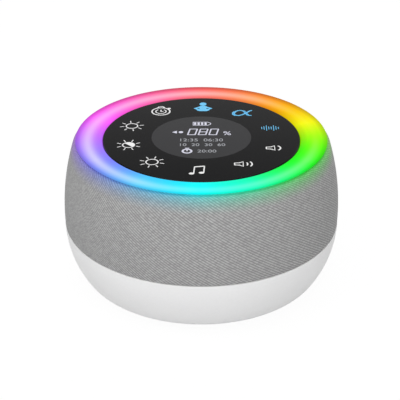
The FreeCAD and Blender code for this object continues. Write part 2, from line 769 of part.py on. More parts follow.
def speaker_yoke():
    """Back plate and pole in one piece of steel."""
    return turned((0, yoke_bottom_z), (plate_radius - pole_radius / 4, yoke_bottom_z),
                  (plate_radius, yoke_bottom_z + plate_thickness / 2), (plate_radius, magnet_bottom_z),
                  (pole_radius, magnet_bottom_z), (pole_radius, basket_base_z), (0, basket_base_z))


def speaker_cone():
    """Paper cone, its neck round the coil and its edge under the surround."""
    neck = coil_inner_radius + coil_former
    return turned((neck, cone_neck_z), (neck + cone_paper, cone_neck_z),
                  (cone_radius, cone_edge_z - cone_paper), (cone_radius, cone_edge_z),
                  (cone_radius - cone_paper, cone_edge_z), (neck, cone_neck_z + cone_paper))


def cone_slope_z(radius):
    """Height of the cone's upper face at a radius."""
    neck = coil_inner_radius + coil_former
    share = (radius - neck) / (cone_radius - cone_paper - neck)
    return cone_neck_z + cone_paper + share * (cone_depth - cone_paper)


def dust_cap():
    """Shallow dome glued on the cone over the coil."""
    rest = cone_slope_z(dust_cap_radius)
    inside = round_cap(dust_cap_radius - cone_paper, rest, dust_cap_rise - cone_paper)
    return round_cap(dust_cap_radius, rest, dust_cap_rise).cut(inside)


def voice_coil():
    """Thin former with its winding in the magnet's gap."""
    inner = coil_inner_radius
    winding_top = basket_base_z + (coil_length - plate_thickness) / 2
    winding_bottom = winding_top - coil_length
    return turned((inner, winding_bottom), (coil_outer_radius, winding_bottom),
                  (coil_outer_radius, winding_top), (inner + coil_former, winding_top),
                  (inner + coil_former, cone_neck_z + cone_paper), (inner, cone_neck_z + cone_paper))


def cone_surround():
    """Rubber half roll between the cone's edge and the flange."""
    rubber = roll_rubber
    low = cone_edge_z
    middle = cone_radius + roll_width / 2
    return turned((cone_radius - roll_seat, low), (roll_outer_radius + roll_seat, low),
                  (roll_outer_radius + roll_seat, low + rubber), (roll_outer_radius, low + rubber),
                  ((middle, low + roll_height + rubber), (cone_radius, low + rubber)),
                  (cone_radius - roll_seat, low + rubber))


def speaker_spider():
    """Corrugated cloth disc between the coil and the basket's shelf."""
    inner = coil_inner_radius + coil_former
    start = inner + roll_seat / 2
    end = basket_foot_radius
    outer = end + basket_shelf_width / 2
    step = (end - start) / (2 * spider_waves)
    low = shelf_z
    upper = [(start + step * i, low + spider_cloth + (spider_wave_rise if i % 2 else 0))
             for i in range(2 * spider_waves + 1)]
    lower = [(r, z - spider_cloth) for r, z in upper]
    points = ([(inner, low), (start, low)] + lower[1:-1] + [(end, low), (outer, low),
              (outer, low + spider_cloth)] + upper[::-1] + [(inner, low + spider_cloth)])
    return turned(*points)


def speaker_terminals():
    """Tag board on the basket's foot, with two solder tags."""
    x = basket_foot_radius
    z = basket_base_z
    board = block((x, -terminal_width / 2, z),
                  (x + basket_metal, terminal_width / 2, shelf_z - basket_metal))
    tags = [block((x + basket_metal, y - tag_width / 2, z),
                  (x + 4 * basket_metal, y + tag_width / 2, z + tag_thickness))
            for y in (-tag_spread / 2, tag_spread / 2)]
    return board.fuse(tags)


def main_board():
    """Circuit board behind the magnet, its rear edge at the inlet."""
    disc = upright(main_board_reach, main_board_z, main_board_top_z)
    band = block((-main_board_half_width, main_board_front_y, main_board_z),
                 (main_board_half_width, main_board_rear_y, main_board_top_z))
    holes = [upright(short_screw_shank + screw_play, main_board_z, main_board_top_z, x, y)
             for x, y in main_screw_places]
    return disc.common(band).cut(holes)


def main_board_screws():
    """Screws through the main board into the bowl's posts."""
    return [short_screw(x, y, main_board_top_z, False) for x, y in main_screw_places]


def main_chips():
    """Amplifier, processor and charger on the main board."""
    z = main_board_top_z
    front = main_board_front_y + 4 * short_screw_head
    return [block((x - width / 2, front - depth / 2, z), (x + width / 2, front + depth / 2, z + chip_height))
            for x, (width, depth) in zip(main_chip_places, main_chip_sizes)]


def board_capacitors():
    """Upright round capacitors on the main board."""
    top = main_board_top_z + capacitor_height
    return [upright(capacitor_radius, main_board_top_z, top, capacitor_x, main_board_rear_y - row)
            for row in capacitor_rows]


def lead_sockets():
    """Sockets on the main board for the ribbon, the battery's lead and the speaker's lead."""
    z = main_board_top_z
    ribbon = block((-ribbon_width / 2 - ribbon_slot_gap, ribbon_y - plug_depth / 2, z),
                   (ribbon_width / 2 + ribbon_slot_gap, ribbon_y + plug_depth / 2, z + plug_height))
    front = main_board_front_y
    others = [block((x - plug_depth / 2, front, z), (x + plug_depth / 2, front + plug_depth,
                    z + plug_height)) for x in (-plug_x, plug_x)]
    return [ribbon] + others


def lead(route):
    """Round lead along a route, its straight runs joined by tangent arcs."""
    places = [FreeCAD.Vector(*point) for point in route]
    edges = []
    curves = []
    here = places[0]
    for before, corner, after in zip(places, places[1:], places[2:]):
        way_in = (corner - before).normalize()
        way_out = (after - corner).normalize()
        half_turn = way_in.getAngle(way_out) / 2
        reach = lead_ease * min(corner.distanceToPoint(before), corner.distanceToPoint(after))
        curve = reach / math.tan(half_turn)
        start = corner - way_in * reach
        end = corner + way_out * reach
        middle = corner + (way_out - way_in).normalize() * (curve / math.cos(half_turn) - curve)
        edges.append(Part.LineSegment(here, start).toShape())
        edges.append(Part.Arc(start, middle, end).toShape())
        curves.append(round(curve, 1))
        here = end
    edges.append(Part.LineSegment(here, places[-1]).toShape())
    print("lead's bends", curves)
    section = Part.Wire(Part.Circle(places[0], places[1] - places[0], lead_radius).toShape())
    return Part.Wire(edges).makePipeShell([section], True, False)


def battery_lead():
    """Lead from the cell's flat end, round the bowl's boss and in to its socket."""
    cell_end = -cell_length / 2
    z = main_board_top_z + plug_height / 2
    room = 4 * lead_radius
    return lead([(cell_end, cell_y, z), (cell_end - lead_exit, cell_y, z),
                 (-bowl_screw_x - bowl_boss_radius - room, -bowl_screw_y, z),
                 (-bowl_screw_x - room, 0, z), (-plug_x - lead_exit, bowl_screw_y / 4, z),
                 (-plug_x, main_board_front_y - lead_exit, z), (-plug_x, main_board_front_y, z)])


def speaker_lead():
    """Lead from the loudspeaker's tag board down to its socket on the main board."""
    board_x = basket_foot_radius + basket_metal
    tag_z = (basket_base_z + shelf_z - basket_metal) / 2
    z = main_board_top_z + plug_height / 2
    last_y = main_board_front_y - lead_exit
    return lead([(board_x, 0, tag_z), (board_x + lead_exit, 0, tag_z),
                 (plug_x + lead_exit / 2, last_y / 2, (tag_z + z) / 2),
                 (plug_x, last_y, z), (plug_x, main_board_front_y, z)])


def usb_socket():
    """Power inlet: a rounded metal shell with its tongue, on the main board's edge."""
    corner = socket_height / 2.2
    front = inlet_floor_y - socket_length
    shell = rounded_bar(inlet_x, port_z, socket_width, socket_height, corner, front, inlet_floor_y)
    mouth = rounded_bar(inlet_x, port_z, socket_width - 2 * socket_metal,
                        socket_height - 2 * socket_metal, corner - socket_metal,
                        front + socket_back, inlet_floor_y)
    reach = socket_width / 2 - socket_tongue_inset
    tongue = block((inlet_x - reach, front + socket_back / 2, port_z - socket_tongue / 2),
                   (inlet_x + reach, inlet_floor_y - socket_back, port_z + socket_tongue / 2))
    return shell.cut(mouth).fuse(tongue)


def switch_body():
    """Side-pushed switch on the main board, behind the button."""
    back = main_board_rear_y - switch_depth
    body = block((button_x - switch_width / 2, back, main_board_top_z),
                 (button_x + switch_width / 2, main_board_rear_y, main_board_top_z + socket_height))
    room = block((button_x - plunger_width / 2 - plunger_gap,
                  main_board_rear_y - plunger_inside - button_travel - 2 * plunger_gap,
                  port_z - plunger_height / 2 - plunger_gap),
                 (button_x + plunger_width / 2 + plunger_gap, main_board_rear_y,
                  port_z + plunger_height / 2 + plunger_gap))
    return body.cut(room)


def switch_plunger():
    """The switch's plunger, which the button's stem pushes."""
    return block((button_x - plunger_width / 2, main_board_rear_y - plunger_inside,
                  port_z - plunger_height / 2),
                 (button_x + plunger_width / 2, main_board_rear_y + plunger_proud,
                  port_z + plunger_height / 2))


def power_button():
    """Round key with a dished face, a flange that keeps it in, and a stem to the switch."""
    flange_out = rear_pad_y - button_rest_gap
    flange_in = flange_out - button_flange_thickness
    face_y = rear_flat_y + button_proud
    dish = button_proud / 3
    edge = button_proud / 3
    outline = half_section((0, main_board_rear_y + plunger_proud),
                           (button_stem_radius, main_board_rear_y + plunger_proud),
                           (button_stem_radius, flange_in),
                           (button_radius + button_flange, flange_in),
                           (button_radius + button_flange, flange_out),
                           (button_radius, flange_out), (button_radius, face_y - edge),
                           (button_radius - edge, face_y), (0, face_y))
    key = outline.revolve(FreeCAD.Vector(0, 0, 0), FreeCAD.Vector(0, 0, 1), 360)
    hollow = round_cap(button_radius - 2 * edge, 0, dish)
    hollow.rotate(FreeCAD.Vector(0, 0, 0), FreeCAD.Vector(1, 0, 0), 180)
    hollow.translate(FreeCAD.Vector(0, 0, face_y))
    key = key.cut(hollow)
    key.rotate(FreeCAD.Vector(0, 0, 0), FreeCAD.Vector(1, 0, 0), -90)
    key.translate(FreeCAD.Vector(button_x, 0, port_z))
    return key


def battery_cell():
    """Round cell lying in the cradle, with its crimped shoulder and raised contact."""
    half = cell_length / 2
    crimp = cell_radius / 12
    cell = turned((0, -half), (cell_radius, -half), (cell_radius, half - 4 * crimp),
                  (cell_radius - crimp, half - 3 * crimp), (cell_radius, half - 2 * crimp),
                  (cell_radius, half - crimp), (cell_radius / 2.6, half - crimp),
                  (cell_radius / 2.6, half), (0, half))
    cell.rotate(FreeCAD.Vector(0, 0, 0), FreeCAD.Vector(0, 1, 0), 90)
    cell.translate(FreeCAD.Vector(0, cell_y, cell_z))
    return cell


def battery_foam():
    """Foam block that the baffle presses on the cell."""
    foam = block((-foam_length / 2, cell_y - foam_width / 2, cell_z),
                 (foam_length / 2, cell_y + foam_width / 2, tongue_top_z))
    cell = Part.makeCylinder(cell_radius, foam_length, FreeCAD.Vector(-foam_length / 2, cell_y, cell_z),
                             FreeCAD.Vector(1, 0, 0))
    return foam.cut(cell)


NODES = {
    "base_shell": base_shell,
    "foot_ring": foot_ring,
    "base_screws": base_screws,
    "grille_shell": grille_shell,
    "fabric_sleeve": fabric_sleeve,
    "top_frame": top_frame,
    "frame_screws": frame_screws,
    "led_board": led_board,
    "led_chips": led_chips,
    "light_ring": light_ring,
    "touch_panel": touch_panel,
    "panel_tape": panel_tape,
    "touch_film": touch_film,
    "display_module": display_module,
    "control_board": control_board,
    "control_board_screws": control_board_screws,
    "control_chips": control_chips,
    "ribbon_cable": ribbon_cable,
    "baffle_plate": baffle_plate,
    "baffle_screws": baffle_screws,
    "speaker_basket": speaker_basket,
    "speaker_screws": speaker_screws,
    "speaker_gasket": speaker_gasket,
    "speaker_top_plate": speaker_top_plate,
    "speaker_magnet": speaker_magnet,
    "speaker_yoke": speaker_yoke,
    "speaker_cone": speaker_cone,
    "dust_cap": dust_cap,
    "voice_coil": voice_coil,
    "cone_surround": cone_surround,
    "speaker_spider": speaker_spider,
    "speaker_terminals": speaker_terminals,
    "main_board": main_board,
    "main_board_screws": main_board_screws,
    "main_chips": main_chips,
    "board_capacitors": board_capacitors,
    "lead_sockets": lead_sockets,
    "battery_lead": battery_lead,
    "speaker_lead": speaker_lead,
    "usb_socket": usb_socket,
    "switch_body": switch_body,
    "switch_plunger": switch_plunger,
    "power_button": power_button,
    "battery_cell": battery_cell,
    "battery_foam": battery_foam,
}

os.makedirs("parts", exist_ok=True)
for name, make in NODES.items():
    made = make()
    pieces = made if isinstance(made, list) else [made]
    solids = [solid for piece in pieces for solid in piece.Solids]
    shape = solids[0] if len(solids) == 1 else Part.makeCompound(solids)
    shape.exportStep("parts/" + name + ".step")
    print(name, len(solids), "solids, volume", round(shape.Volume, 1), "valid", shape.isValid())
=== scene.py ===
import bpy
import math
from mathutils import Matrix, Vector


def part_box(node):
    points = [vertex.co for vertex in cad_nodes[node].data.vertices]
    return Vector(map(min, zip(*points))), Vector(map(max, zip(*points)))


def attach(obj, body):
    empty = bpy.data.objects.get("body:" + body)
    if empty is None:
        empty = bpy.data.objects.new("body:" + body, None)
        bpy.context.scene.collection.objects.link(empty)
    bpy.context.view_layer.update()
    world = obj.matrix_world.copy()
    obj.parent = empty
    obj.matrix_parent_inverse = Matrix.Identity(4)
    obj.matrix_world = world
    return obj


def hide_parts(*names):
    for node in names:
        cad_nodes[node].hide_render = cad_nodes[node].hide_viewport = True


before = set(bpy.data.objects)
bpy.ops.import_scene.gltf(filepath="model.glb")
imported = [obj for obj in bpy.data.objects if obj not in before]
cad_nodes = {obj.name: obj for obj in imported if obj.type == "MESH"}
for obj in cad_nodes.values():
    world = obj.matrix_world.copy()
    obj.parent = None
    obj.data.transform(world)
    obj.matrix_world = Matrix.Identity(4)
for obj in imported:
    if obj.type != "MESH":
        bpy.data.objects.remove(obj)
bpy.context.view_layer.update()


# The studio: the camera looks down at the machine from the front, as the photograph does. The room
# is white, four large soft lamps hang in it, and the table is a pale sheet without an edge.
camera_place = (0, -0.41284, 0.25128)
camera_tilt = math.radians(61.9)
film_width = 36
focal_length = 104.15
framing_shift = -0.00345
lamp_aim = Vector((0, 0, 0.03))
room_fill = 0.45
wall_tones = [(0, 1), (0.3, 0.85), (0.39, 0.5), (0.455, 0.25), (0.56, 0.18), (0.8, 0.5), (1, 1)]
table_size = 8
paper_tone = 0.5
paper_white = 1.06
paper_white_share = 0.9


def feed(tree, made, inputs):
    """Gives each named input of a node a value, or another node's socket to read."""
    for key, value in inputs.items():
        if isinstance(value, bpy.types.NodeSocket):
            tree.links.new(value, made.inputs[key])
        else:
            made.inputs[key].default_value = value


def node(tree, kind, inputs=None, **settings):
    """One shader node with its settings and inputs."""
    made = tree.nodes.new("ShaderNode" + kind)
    for name, value in settings.items():
        setattr(made, name, value)
    feed(tree, made, inputs or {})
    return made


def calc(tree, operation, *values, clamp=False):
    """One step of arithmetic on sockets and numbers."""
    step = node(tree, "Math", dict(enumerate(values)), operation=operation, use_clamp=clamp)
    return step.outputs[0]


def grey(value):
    """A neutral colour."""
    return (value, value, value, 1)


def ramp(tree, factor, stops):
    """A colour ramp through (place, colour) stops."""
    made = node(tree, "ValToRGB", {"Fac": factor})
    elements = made.color_ramp.elements
    while len(elements) < len(stops):
        elements.new(0.5)
    for element, (position, colour) in zip(elements, stops):
        element.position = position
        element.color = colour
    return made.outputs["Color"]


def soft_lamp(name, place, size, power, mirrored=True):
    """A square lamp that faces the machine. It may be kept out of the glass, as a flag would."""
    data = bpy.data.lights.new(name, "AREA")
    data.size = size
    data.energy = power
    lamp = bpy.data.objects.new(name, data)
    lamp.location = place
    lamp.rotation_euler = (lamp_aim - Vector(place)).to_track_quat("-Z", "Y").to_euler()
    lamp.visible_glossy = mirrored
    bpy.context.scene.collection.objects.link(lamp)


camera_data = bpy.data.cameras.new("camera")
camera_data.sensor_fit = "HORIZONTAL"
camera_data.sensor_width = film_width
camera_data.lens = focal_length
camera_data.shift_x = framing_shift
camera = bpy.data.objects.new("camera", camera_data)
camera.location = camera_place
camera.rotation_euler = (camera_tilt, 0, 0)
bpy.context.scene.collection.objects.link(camera)
bpy.context.scene.camera = camera
bpy.context.scene.view_settings.view_transform = "Standard"

soft_lamp("lamp_above", (-0.2, -0.3, 1.3), size=1.1, power=8)
soft_lamp("lamp_front", (0.02, -1.5, 0.6), size=1.0, power=11, mirrored=False)
soft_lamp("lamp_behind", (0.3, 1.5, 0.6), size=1.0, power=9, mirrored=False)
soft_lamp("lamp_left", (-1.3, -0.3, 0.6), size=0.9, power=1.4)

room = bpy.data.worlds.new("white_room")
room.use_nodes = True
tree = room.node_tree
tree.nodes.clear()
height = node(tree, "SeparateXYZ", {0: node(tree, "TexCoord").outputs["Generated"]}).outputs["Z"]
walls = ramp(tree, height, [(place, grey(tone)) for place, tone in wall_tones])
ray = node(tree, "LightPath").outputs
fill = node(tree, "Background", {"Color": grey(1), "Strength": room_fill}).outputs[0]
mirrored = node(tree, "Background", {"Color": walls, "Strength": 1}).outputs[0]
white = node(tree, "Background", {"Color": grey(1), "Strength": 1}).outputs[0]
gathered = node(tree, "MixShader", {0: ray["Is Glossy Ray"], 1: fill, 2: mirrored}).outputs[0]
direct = calc(tree, "MAXIMUM", ray["Is Camera Ray"], ray["Is Transmission Ray"])
light = node(tree, "MixShader", {0: direct, 1: gathered, 2: white}).outputs[0]
node(tree, "OutputWorld", {"Surface": light})
bpy.context.scene.world = room

bpy.ops.object.select_all(action="DESELECT")
bpy.ops.mesh.primitive_plane_add(size=table_size, location=(0, 0, 0))
table = bpy.context.object
table.name = "table"
paper = bpy.data.materials.new("table_paper")
paper.use_nodes = True
tree = paper.node_tree
tree.nodes.clear()
ray = node(tree, "LightPath").outputs
indirect = calc(tree, "MAXIMUM", ray["Is Glossy Ray"], ray["Is Transmission Ray"])
seen = calc(tree, "MAXIMUM", ray["Is Camera Ray"], indirect)
share = calc(tree, "MULTIPLY", seen, paper_white_share)
lit = node(tree, "BsdfDiffuse", {"Color": grey(paper_tone)}).outputs[0]
bright = node(tree, "Emission", {"Color": grey(1), "Strength": paper_white}).outputs[0]
sheet = node(tree, "MixShader", {0: share, 1: lit, 2: bright}).outputs[0]
node(tree, "OutputMaterial", {"Surface": sheet})
table.data.materials.append(paper)


# The bowl is one moulding of white plastic with a fine satin texture, with its screw bosses, board
# posts and battery cradle inside. Its node has the real form, so it gets only its finish.
micron = 0.000001


def own_point(tree):
    """A point's place on its own piece, in metres."""
    return node(tree, "TexCoord").outputs["Object"]


def place_of(tree):
    """The same place as X, Y and Z."""
    return node(tree, "SeparateXYZ", {0: own_point(tree)}).outputs


def grain(scale, detail=3.0, stretch=(1, 1, 1)):
    """A pattern: noise fixed to the piece, its scale in waves per metre."""
    def pattern(tree):
        place = node(tree, "Mapping", {"Vector": own_point(tree), "Scale": stretch}).outputs[0]
        inputs = {"Vector": place, "Scale": scale, "Detail": detail}
        return node(tree, "TexNoise", inputs).outputs[0]
    return pattern


def mix_colours(tree, factor, first, second, blend="MIX"):
    """A colour between two colours."""
    inputs = {0: factor, 6: first, 7: second}
    return node(tree, "Mix", inputs, data_type="RGBA", blend_type=blend).outputs[2]


def between(tree, factor, low, high):
    """A number between two fixed numbers."""
    return calc(tree, "MULTIPLY_ADD", factor, high - low, low)


def relief(tree, height, depth, strength=1.0):
    """A surface that rises by a depth, in metres, where the height is 1."""
    inputs = {"Height": height, "Distance": depth, "Strength": strength}
    return node(tree, "Bump", inputs).outputs[0]


def new_material(name):
    """A new material, its node tree and its shader."""
    made = bpy.data.materials.new(name)
    made.use_nodes = True
    return made, made.node_tree, made.node_tree.nodes["Principled BSDF"]


def finish(name, dark, light, roughness, pattern, depth=0.0, metallic=0.0):
    """A material between two colours: a fine pattern with relief, over slow, faint clouds."""
    cloud_scale = 60
    cloud_share = 0.4
    gloss_spread = 0.06
    made, tree, shader = new_material(name)
    fine = pattern(tree)
    clouds = grain(cloud_scale)(tree)
    slow = calc(tree, "MULTIPLY", clouds, cloud_share)
    blend = calc(tree, "MULTIPLY_ADD", fine, 1 - cloud_share, slow, clamp=True)
    feed(tree, shader, {
        "Base Color": mix_colours(tree, blend, dark + (1,), light + (1,)),
        "Roughness": between(tree, clouds, roughness - gloss_spread, roughness + gloss_spread),
        "Metallic": metallic})
    if depth:
        feed(tree, shader, {"Normal": relief(tree, fine, depth)})
    return made


def dress(material, *names):
    """Gives nodes their finish."""
    for name in names:
        for slot in cad_nodes[name].material_slots:
            slot.material = material


dress(finish("white_satin_plastic", dark=(0.835, 0.835, 0.838), light=(0.91, 0.91, 0.913),
             roughness=0.42, pattern=grain(1100), depth=15 * micron), "base_shell")


# The foot is a soft ring of black rubber, glued in the groove under the bowl. It hides four long
# screws, which hold the bowl, the baffle and the slotted shell together.
screw_plating = finish("screw_plating", dark=(0.4, 0.4, 0.42), light=(0.6, 0.6, 0.63),
                       roughness=0.32, pattern=grain(500, detail=4, stretch=(1, 1, 8)),
                       metallic=1.0)
dress(finish("foot_rubber", dark=(0.018, 0.018, 0.018), light=(0.05, 0.05, 0.052),
             roughness=0.8, pattern=grain(700), depth=60 * micron), "foot_ring")
dress(screw_plating, "base_screws")


# The battery is a round cell in a shrunk blue wrap, which lies in the bowl's cradle. The baffle
# presses it down through a block of open foam. Its bare end is the raised contact.
contact_length = 0.0012


def end_marked(reach):
    """A pattern: 1 past a distance along X, where the metal is bare, and fine noise before it."""
    wrap_share = 0.25

    def pattern(tree):
        bare = calc(tree, "GREATER_THAN", place_of(tree)["X"], reach)
        return calc(tree, "MAXIMUM", bare, calc(tree, "MULTIPLY", grain(300)(tree), wrap_share))
    return pattern


def cells(scale):
    """A pattern: the open cells of foam, their scale in cells per metre."""
    def pattern(tree):
        inputs = {"Vector": own_point(tree), "Scale": scale}
        return node(tree, "TexVoronoi", inputs).outputs["Distance"]
    return pattern


cell_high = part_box("battery_cell")[1]
dress(finish("cell_wrap", dark=(0.02, 0.07, 0.2), light=(0.5, 0.55, 0.6), roughness=0.3,
             pattern=end_marked(cell_high.x - contact_length), depth=10 * micron), "battery_cell")
dress(finish("open_foam", dark=(0.012, 0.012, 0.013), light=(0.07, 0.07, 0.072),
             roughness=0.95, pattern=cells(1300), depth=300 * micron),
      "battery_foam", "speaker_gasket")


# The main board stands on four posts behind the loudspeaker's magnet: green solder mask over thin
# tracks, black packages, two capacitors, cream sockets, and a side-pushed switch.
def mix_numbers(tree, factor, first, second):
    """A number between two sockets' numbers."""
    return node(tree, "Mix", {0: factor, 2: first, 3: second}, data_type="FLOAT").outputs[0]


def chance_at(tree, column, row):
    """A fixed number from 0 to 1 for each square of a grid."""
    square = node(tree, "CombineXYZ", {0: column, 1: row, 2: 0}).outputs[0]
    return node(tree, "TexWhiteNoise", {0: square}, noise_dimensions="3D").outputs["Value"]


def tracks(pitch, field):
    """A pattern: thin parallel tracks, which turn from one field of the board to the next."""
    track_share = 0.35
    turned_above = 0.5
    bare_below = 0.2

    def pattern(tree):
        place = place_of(tree)
        column = calc(tree, "FLOOR", calc(tree, "DIVIDE", place["X"], field))
        row = calc(tree, "FLOOR", calc(tree, "DIVIDE", place["Y"], field))
        chance = chance_at(tree, column, row)
        turned_here = calc(tree, "GREATER_THAN", chance, turned_above)
        along = mix_numbers(tree, turned_here, place["X"], place["Y"])
        step = calc(tree, "FRACT", calc(tree, "DIVIDE", along, pitch))
        track = calc(tree, "LESS_THAN", step, track_share)
        return calc(tree, "MULTIPLY", track, calc(tree, "GREATER_THAN", chance, bare_below))
    return pattern


dress(finish("solder_mask", dark=(0.008, 0.07, 0.03), light=(0.03, 0.2, 0.09), roughness=0.35,
             pattern=tracks(0.0008, field=0.005), depth=20 * micron),
      "main_board", "control_board", "speaker_terminals")
dress(finish("moulded_package", dark=(0.012, 0.012, 0.012), light=(0.035, 0.035, 0.036),
             roughness=0.6, pattern=grain(2500), depth=10 * micron),
      "main_chips", "control_chips", "switch_body")
dress(finish("capacitor_sleeve", dark=(0.03, 0.04, 0.09), light=(0.09, 0.12, 0.25),
             roughness=0.35, pattern=grain(800, detail=2, stretch=(1, 1, 0.1))),
      "board_capacitors")
dress(finish("cream_socket_plastic", dark=(0.66, 0.6, 0.46), light=(0.82, 0.77, 0.66),
             roughness=0.45, pattern=grain(900), depth=10 * micron),
      "lead_sockets", "switch_plunger")
dress(finish("lead_rubber", dark=(0.02, 0.02, 0.02), light=(0.06, 0.06, 0.06),
             roughness=0.55, pattern=grain(1500), depth=30 * micron),
      "battery_lead", "speaker_lead")
dress(screw_plating, "main_board_screws")


# The power inlet is a stamped steel shell round a black tongue, at the bottom of the plug's
# recess. Beside it stands the power button, a round white key with a dished face.
inlet_side_metal = 0.0008
inlet_flat_metal = 0.0009


def tongue_marked(low, high):
    """A pattern: 1 on the shell, and 0 on the tongue inside it."""
    middle = (low + high) / 2
    reach = {"X": (high.x - low.x) / 2 - inlet_side_metal,
             "Z": (high.z - low.z) / 2 - inlet_flat_metal}

    def pattern(tree):
        place = place_of(tree)
        past = []
        for axis, centre in (("X", middle.x), ("Z", middle.z)):
            off = calc(tree, "ABSOLUTE", calc(tree, "SUBTRACT", place[axis], centre))
            past.append(calc(tree, "GREATER_THAN", off, reach[axis]))
        return calc(tree, "MAXIMUM", *past)
    return pattern


dress(finish("stamped_inlet", dark=(0.03, 0.03, 0.03), light=(0.66, 0.66, 0.67), roughness=0.3,
             pattern=tongue_marked(*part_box("usb_socket")), metallic=0.85), "usb_socket")
dress(finish("white_key_plastic", dark=(0.78, 0.78, 0.785), light=(0.87, 0.87, 0.875),
             roughness=0.33, pattern=grain(1400), depth=8 * micron), "power_button")


# The loudspeaker hangs in the baffle: a black coated basket, a ferrite ring between two plates of
# zinc-plated steel, a pressed paper cone on a rubber roll, and a resin-dipped cloth spider.
def wave(tree, turn):
    """An even wave from 0 to 1 along a turn in radians."""
    return calc(tree, "MULTIPLY_ADD", calc(tree, "SINE", turn), 0.5, 0.5)


def waves(pitch, axis="Z"):
    """A pattern: even ridges along one axis."""
    def pattern(tree):
        turn = calc(tree, "MULTIPLY", place_of(tree)[axis], 2 * math.pi / pitch)
        return wave(tree, turn)
    return pattern


def open_weave(pitch):
    """A pattern: a plain weave seen from above."""
    def pattern(tree):
        return calc(tree, "MULTIPLY", waves(pitch, "X")(tree), waves(pitch, "Y")(tree))
    return pattern


dress(finish("black_moulding", dark=(0.02, 0.02, 0.021), light=(0.04, 0.04, 0.042),
             roughness=0.55, pattern=grain(900), depth=20 * micron),
      "baffle_plate", "grille_shell")
dress(screw_plating, "baffle_screws", "speaker_screws")
dress(finish("basket_coat", dark=(0.02, 0.02, 0.02), light=(0.055, 0.055, 0.055),
             roughness=0.45, pattern=grain(2000), depth=20 * micron, metallic=0.2),
      "speaker_basket")
dress(finish("zinc_plate", dark=(0.45, 0.45, 0.42), light=(0.66, 0.65, 0.6),
             roughness=0.35, pattern=grain(250, detail=5), metallic=1.0),
      "speaker_top_plate", "speaker_yoke")
dress(finish("ferrite_ring", dark=(0.03, 0.03, 0.032), light=(0.09, 0.09, 0.095),
             roughness=0.6, pattern=grain(900, detail=5), depth=50 * micron), "speaker_magnet")
dress(finish("pressed_paper", dark=(0.02, 0.02, 0.022), light=(0.06, 0.06, 0.064),
             roughness=0.9, pattern=grain(1200, detail=6), depth=80 * micron),
      "speaker_cone", "dust_cap")
dress(finish("roll_rubber", dark=(0.015, 0.015, 0.015), light=(0.04, 0.04, 0.04),
             roughness=0.7, pattern=grain(900), depth=20 * micron), "cone_surround")
dress(finish("lacquered_wire", dark=(0.36, 0.14, 0.05), light=(0.85, 0.45, 0.2),
             roughness=0.3, pattern=waves(0.0002), depth=30 * micron, metallic=0.9), "voice_coil")
dress(finish("spider_weave", dark=(0.3, 0.16, 0.03), light=(0.62, 0.4, 0.12),
             roughness=0.85, pattern=open_weave(0.0007), depth=60 * micron), "speaker_spider")


# The cloth sleeve is a grey twill of light and dark yarn, stretched round the slotted shell. It
# folds in over the shell's rim and under its lower edge, and one sewn seam runs up the rear.
hem_edge_radius = 0.0521
hem_curve = 0.0006
widest_rise = 0.0044
side_curve = 0.095
fold_curve = 0.002
tuck_radius = 0.0466
cloth_thickness = 0.0008
threads_round = 4 * 211
weft_pitch = 0.000275
merge_distance = 1e-7
smooth_below = math.radians(40)
screen_gamma = 2.2

# The lamps' colours by the angle from the back, clockwise, and how deep each one is.
lamp_hues = [(0, (1, 0, 0)), (74, (0.95, 0.95, 0)), (122, (0, 1, 0)), (155, (0, 1, 0.67)),
             (181, (0, 1, 1)), (210, (0, 0.67, 1)), (239, (0, 0, 1)), (291, (1, 0, 1)),
             (360, (1, 0, 0))]
lamp_depths = [(0, 0.61), (30, 0.79), (60, 1.12), (90, 1.2), (120, 0.88), (150, 0.95), (181, 1),
               (210, 0.7), (240, 0.5), (270, 0.6), (300, 0.67), (360, 0.61)]


def turned(name, outline, closed=False):
    """A turned form: a ring of points is extruded along an outline of (radius, height)."""
    points_round = 256
    first_radius, first_height = outline[0]
    bpy.ops.object.select_all(action="DESELECT")
    bpy.ops.mesh.primitive_circle_add(vertices=points_round, radius=first_radius,
                                      location=(0, 0, first_height))
    piece = bpy.context.object
    piece.name = name
    bpy.ops.object.transform_apply(location=True, rotation=True, scale=True)
    bpy.ops.object.mode_set(mode="EDIT")
    bpy.ops.mesh.select_all(action="SELECT")
    path = outline + [outline[0]] if closed else outline
    for before, after in zip(path, path[1:]):
        step = {"value": (0, 0, after[1] - before[1])}
        bpy.ops.mesh.extrude_edges_move(TRANSFORM_OT_translate=step)
        share = after[0] / before[0]
        bpy.ops.transform.resize(value=(share, share, 1), center_override=(0, 0, 0))
    bpy.ops.mesh.select_all(action="SELECT")
    bpy.ops.mesh.remove_doubles(threshold=merge_distance)
    bpy.ops.mesh.normals_make_consistent(inside=False)
    bpy.ops.object.mode_set(mode="OBJECT")
    return piece


def arc(centre, radius, start, end, steps):
    """Points of an arc in an outline, its angles in radians above the horizontal."""
    angles = [start + (end - start) * i / steps for i in range(steps + 1)]
    return [(centre[0] + radius * math.cos(a), centre[1] + radius * math.sin(a)) for a in angles]


def cloth_map(piece, outline, widest):
    """A map in metres: along the round at the widest radius from the front, and up the outline."""
    lengths = [0.0]
    for before, after in zip(outline, outline[1:]):
        lengths.append(lengths[-1] + math.dist(before, after))
    mesh = piece.data
    layer = mesh.uv_layers.new(name="cloth")
    rises = []
    for vertex in mesh.vertices:
        here = (math.hypot(vertex.co.x, vertex.co.y), vertex.co.z)
        nearest = min(range(len(outline)), key=lambda i: math.dist(here, outline[i]))
        rises.append(lengths[nearest])
    for face in mesh.polygons:
        middle = math.atan2(face.center.x, -face.center.y)
        for corner in face.loop_indices:
            index = mesh.loops[corner].vertex_index
            place = mesh.vertices[index].co
            turn = math.atan2(place.x, -place.y)
            turn -= 2 * math.pi * round((turn - middle) / (2 * math.pi))
            layer.data[corner].uv = (turn * widest, rises[index])


